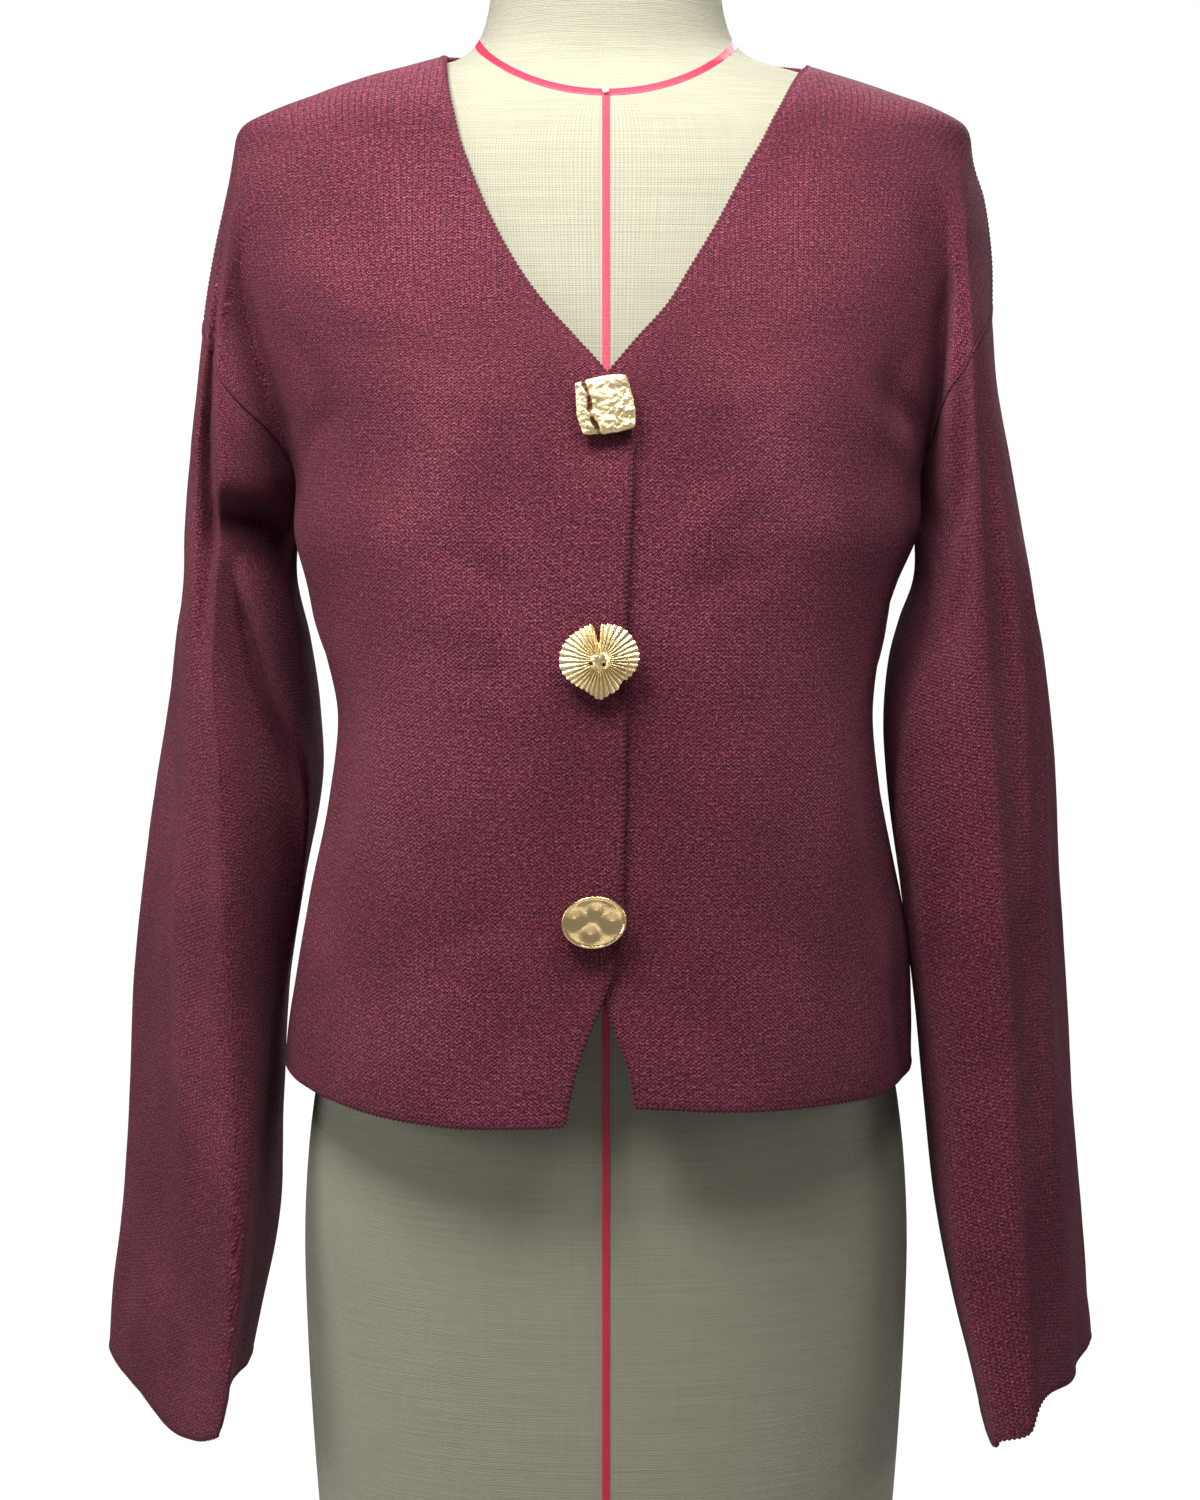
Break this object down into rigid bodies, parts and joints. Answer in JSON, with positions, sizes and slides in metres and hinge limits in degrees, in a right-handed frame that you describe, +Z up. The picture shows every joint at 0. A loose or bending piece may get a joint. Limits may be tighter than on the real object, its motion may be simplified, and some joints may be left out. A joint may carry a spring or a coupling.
{
  "type": "button cardigan on a dress form",
  "caption": "Cropped V-neck knit cardigan with dropped shoulders, long wide sleeves and shank buttons, worn by a limbless linen dress form on a round stand.",
  "frame": {"origin": "centre of the stand base's flat underside, on the floor", "axes": "+Z up along the pole, the cardigan's fronts face -Y, +X is to the wearer's left"},
  "size_m": [0.5102, 0.39, 1.3838],
  "materials": {
    "knit": "fine matte wool knit, burgundy with a heather of pink and dark fibres",
    "linen": "cream linen cover with red satin style tapes",
    "beech": "turned and varnished",
    "iron": "satin black",
    "gold": "pale gold plating, nugget, leaf and hammered faces"
  },
  "bodies": {
    "root": {"back": "knit", "right_front": "knit", "left_front": "knit", "right_sleeve": "knit", "left_sleeve": "knit", "button_square": "gold", "button_leaf": "gold", "button_oval": "gold", "form_torso": "linen", "neck_cap": "beech", "stand_collar": "beech", "stand_pole": "iron", "stand_base": "iron"}
  },
  "joints": []
}
